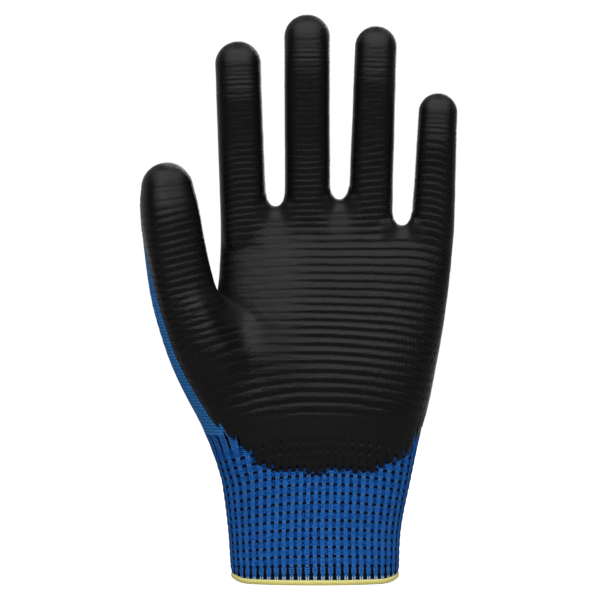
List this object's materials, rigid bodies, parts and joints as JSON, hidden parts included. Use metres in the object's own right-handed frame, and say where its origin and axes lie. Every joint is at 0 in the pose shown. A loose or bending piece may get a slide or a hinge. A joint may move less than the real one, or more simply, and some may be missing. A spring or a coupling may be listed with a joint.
{
  "type": "cut resistant glove",
  "caption": "Left-hand knitted glove with a ribbed dipped palm and fingers, stalls that bend at each knuckle, an elastic cuff and an overlocked hem, open at the wrist.",
  "frame": {"origin": "middle of the wrist opening, in the plane of the hem's underside", "axes": "+Z from the wrist up the fingers, -Y out of the palm, -X towards the thumb's side"},
  "size_m": [0.1373, 0.0468, 0.245],
  "materials": {
    "knit": "matte knit",
    "film": "satin, ribbed",
    "hem_yarn": "matte overlock",
    "elastic": "matte"
  },
  "bodies": {
    "hand": {"hem": "hem_yarn", "cuff": "knit", "cuff_elastic": "elastic", "palm_liner": "knit", "knuckle_liner": "knit", "palm_film": "film", "index_proximal_flex": "film", "middle_proximal_flex": "film", "ring_proximal_flex": "film", "little_proximal_flex": "film", "thumb_proximal_flex": "film"},
    "index_proximal": {"index_proximal_liner": "knit", "index_proximal_film": "film", "index_middle_flex": "film"},
    "index_middle": {"index_middle_liner": "knit", "index_middle_film": "film", "index_distal_flex": "film"},
    "index_distal": {"index_distal_liner": "knit", "index_distal_film": "film"},
    "middle_proximal": {"middle_proximal_liner": "knit", "middle_proximal_film": "film", "middle_middle_flex": "film"},
    "middle_middle": {"middle_middle_liner": "knit", "middle_middle_film": "film", "middle_distal_flex": "film"},
    "middle_distal": {"middle_distal_liner": "knit", "middle_distal_film": "film"},
    "ring_proximal": {"ring_proximal_liner": "knit", "ring_proximal_film": "film", "ring_middle_flex": "film"},
    "ring_middle": {"ring_middle_liner": "knit", "ring_middle_film": "film", "ring_distal_flex": "film"},
    "ring_distal": {"ring_distal_liner": "knit", "ring_distal_film": "film"},
    "little_proximal": {"little_proximal_liner": "knit", "little_proximal_film": "film", "little_middle_flex": "film"},
    "little_middle": {"little_middle_liner": "knit", "little_middle_film": "film", "little_distal_flex": "film"},
    "little_distal": {"little_distal_liner": "knit", "little_distal_film": "film"},
    "thumb_proximal": {"thumb_proximal_liner": "knit", "thumb_proximal_film": "film", "thumb_distal_flex": "film"},
    "thumb_distal": {"thumb_distal_liner": "knit", "thumb_distal_film": "film"}
  },
  "joints": [
    {"name": "index_proximal_bend", "type": "hinge", "parent": "hand", "child": "index_proximal", "pos_m": [-0.0314, -0.00063, 0.1717], "axis": [0.9994, -0.0018, 0.0345], "range_deg": [-15, 70], "stiffness_Nm_per_rad": 0.02, "deforming": ["index_proximal_flex"]},
    {"name": "index_middle_bend", "type": "hinge", "parent": "index_proximal", "child": "index_middle", "pos_m": [-0.03221, -0.00187, 0.19493], "axis": [0.9994, -0.0018, 0.0345], "range_deg": [0, 80], "stiffness_Nm_per_rad": 0.02, "deforming": ["index_middle_flex"]},
    {"name": "index_distal_bend", "type": "hinge", "parent": "index_middle", "child": "index_distal", "pos_m": [-0.03288, -0.00291, 0.21449], "axis": [0.9994, -0.0018, 0.0345], "range_deg": [0, 38], "stiffness_Nm_per_rad": 0.02, "deforming": ["index_distal_flex"]},
    {"name": "middle_proximal_bend", "type": "hinge", "parent": "hand", "child": "middle_proximal", "pos_m": [-0.00324, -0.00079, 0.1748], "axis": [1, -0.0001, 0.0027], "range_deg": [-15, 70], "stiffness_Nm_per_rad": 0.02, "deforming": ["middle_proximal_flex"]},
    {"name": "middle_middle_bend", "type": "hinge", "parent": "middle_proximal", "child": "middle_middle", "pos_m": [-0.00331, -0.0022, 0.20122], "axis": [1, -0.0001, 0.0027], "range_deg": [0, 80], "stiffness_Nm_per_rad": 0.02, "deforming": ["middle_middle_flex"]},
    {"name": "middle_distal_bend", "type": "hinge", "parent": "middle_middle", "child": "middle_distal", "pos_m": [-0.00337, -0.00338, 0.22348], "axis": [1, -0.0001, 0.0027], "range_deg": [0, 38], "stiffness_Nm_per_rad": 0.02, "deforming": ["middle_distal_flex"]},
    {"name": "ring_proximal_bend", "type": "hinge", "parent": "hand", "child": "ring_proximal", "pos_m": [0.02448, -0.00079, 0.1748], "axis": [0.9995, 0.0017, -0.0323], "range_deg": [-15, 70], "stiffness_Nm_per_rad": 0.02, "deforming": ["ring_proximal_flex"]},
    {"name": "ring_middle_bend", "type": "hinge", "parent": "ring_proximal", "child": "ring_middle", "pos_m": [0.02527, -0.00211, 0.19934], "axis": [0.9995, 0.0017, -0.0323], "range_deg": [0, 80], "stiffness_Nm_per_rad": 0.02, "deforming": ["ring_middle_flex"]},
    {"name": "ring_distal_bend", "type": "hinge", "parent": "ring_middle", "child": "ring_distal", "pos_m": [0.02594, -0.00321, 0.22001], "axis": [0.9995, 0.0017, -0.0323], "range_deg": [0, 38], "stiffness_Nm_per_rad": 0.02, "deforming": ["ring_distal_flex"]},
    {"name": "little_proximal_bend", "type": "hinge", "parent": "hand", "child": "little_proximal", "pos_m": [0.05176, -0.00059, 0.1635], "axis": [0.999, 0.0025, -0.0441], "range_deg": [-15, 70], "stiffness_Nm_per_rad": 0.02, "deforming": ["little_proximal_flex"]},
    {"name": "little_middle_bend", "type": "hinge", "parent": "little_proximal", "child": "little_middle", "pos_m": [0.05255, -0.0016, 0.18131], "axis": [0.999, 0.0025, -0.0441], "range_deg": [0, 80], "stiffness_Nm_per_rad": 0.02, "deforming": ["little_middle_flex"]},
    {"name": "little_distal_bend", "type": "hinge", "parent": "little_middle", "child": "little_distal", "pos_m": [0.05322, -0.00244, 0.19632], "axis": [0.999, 0.0025, -0.0441], "range_deg": [0, 38], "stiffness_Nm_per_rad": 0.02, "deforming": ["little_distal_flex"]},
    {"name": "thumb_proximal_bend", "type": "hinge", "parent": "hand", "child": "thumb_proximal", "pos_m": [-0.05868, -0.01268, 0.13488], "axis": [0.9288, 0.3342, 0.1598], "range_deg": [-10, 40], "stiffness_Nm_per_rad": 0.02, "deforming": ["thumb_proximal_flex"]},
    {"name": "thumb_distal_bend", "type": "hinge", "parent": "thumb_proximal", "child": "thumb_distal", "pos_m": [-0.06169, -0.01428, 0.15566], "axis": [0.9288, 0.3342, 0.1598], "range_deg": [0, 50], "stiffness_Nm_per_rad": 0.02, "deforming": ["thumb_distal_flex"]}
  ]
}
